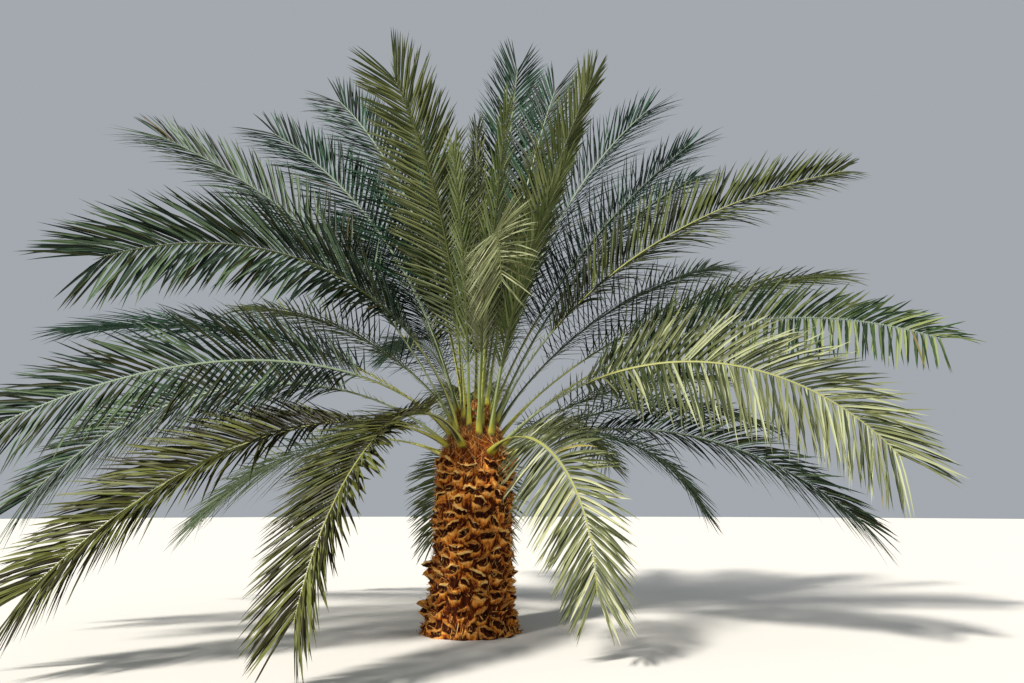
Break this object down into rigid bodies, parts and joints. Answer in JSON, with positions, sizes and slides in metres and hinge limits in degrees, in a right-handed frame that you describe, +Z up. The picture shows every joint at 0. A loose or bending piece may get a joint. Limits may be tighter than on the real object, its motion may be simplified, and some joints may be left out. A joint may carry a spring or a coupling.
{
  "type": "date palm tree",
  "caption": "Whole date palm tree: short booted trunk with flared foot, fibrous crown heart and a full rounded crown of arching feather fronds.",
  "frame": {"origin": "middle of the flat cut under the trunk, at ground level", "axes": "+Z up the trunk, -Z out of the cut into the ground; +X to the right and -Y to the front, as the picture sees the tree"},
  "size_m": [7.6034, 5.8284, 5.3299],
  "materials": {
    "bark": "rough booted bark, golden brown with dark gaps and pale cut edges",
    "fibre": "coarse matted leaf-sheath fibre, reddish brown",
    "leaf_olive": "satin, leathery olive-green leaflets on a yellow-green rib",
    "leaf_blue_green": "satin, leathery blue-green leaflets on a pale green rib",
    "leaf_pale": "satin, leathery pale yellow-green leaflets on a yellow-green rib"
  },
  "bodies": {
    "root": {"trunk": "bark", "heart": "fibre", "frond_back_1_inner": "leaf_blue_green", "frond_back_1_outer": "leaf_blue_green", "frond_back_2": "leaf_blue_green", "frond_back_3_inner": "leaf_blue_green", "frond_back_3_outer": "leaf_blue_green", "frond_back_4": "leaf_blue_green", "frond_back_5": "leaf_blue_green", "frond_back_6": "leaf_blue_green", "frond_back_7": "leaf_blue_green", "frond_back_8": "leaf_blue_green", "frond_crest_1": "leaf_blue_green", "frond_crest_2": "leaf_blue_green", "frond_crest_3": "leaf_olive", "frond_crest_4": "leaf_blue_green", "frond_crest_5": "leaf_blue_green", "frond_crest_6": "leaf_blue_green", "frond_crest_7": "leaf_olive", "frond_crest_8": "leaf_blue_green", "frond_front_1_inner": "leaf_olive", "frond_front_1_outer": "leaf_olive", "frond_front_2": "leaf_olive", "frond_front_3": "leaf_olive", "frond_left_1": "leaf_olive", "frond_left_10": "leaf_blue_green", "frond_left_11_inner": "leaf_olive", "frond_left_11_outer": "leaf_olive", "frond_left_12_inner": "leaf_blue_green", "frond_left_12_outer": "leaf_blue_green", "frond_left_13": "leaf_blue_green", "frond_left_14": "leaf_blue_green", "frond_left_2": "leaf_blue_green", "frond_left_3": "leaf_blue_green", "frond_left_4": "leaf_olive", "frond_left_5_inner": "leaf_olive", "frond_left_5_outer": "leaf_olive", "frond_left_6": "leaf_blue_green", "frond_left_7_inner": "leaf_olive", "frond_left_7_outer": "leaf_olive", "frond_left_8_inner": "leaf_olive", "frond_left_8_outer": "leaf_olive", "frond_left_9_inner": "leaf_olive", "frond_left_9_outer": "leaf_olive", "frond_right_1": "leaf_blue_green", "frond_right_2": "leaf_olive", "frond_right_3_inner": "leaf_pale", "frond_right_3_outer": "leaf_pale", "frond_right_4": "leaf_blue_green", "frond_right_5": "leaf_olive", "frond_right_6_inner": "leaf_blue_green", "frond_right_6_outer": "leaf_blue_green", "frond_right_7": "leaf_blue_green", "frond_right_8_inner": "leaf_pale", "frond_right_8_outer": "leaf_pale", "frond_young_1": "leaf_blue_green", "frond_young_2": "leaf_olive", "frond_young_3": "leaf_olive"}
  },
  "joints": []
}
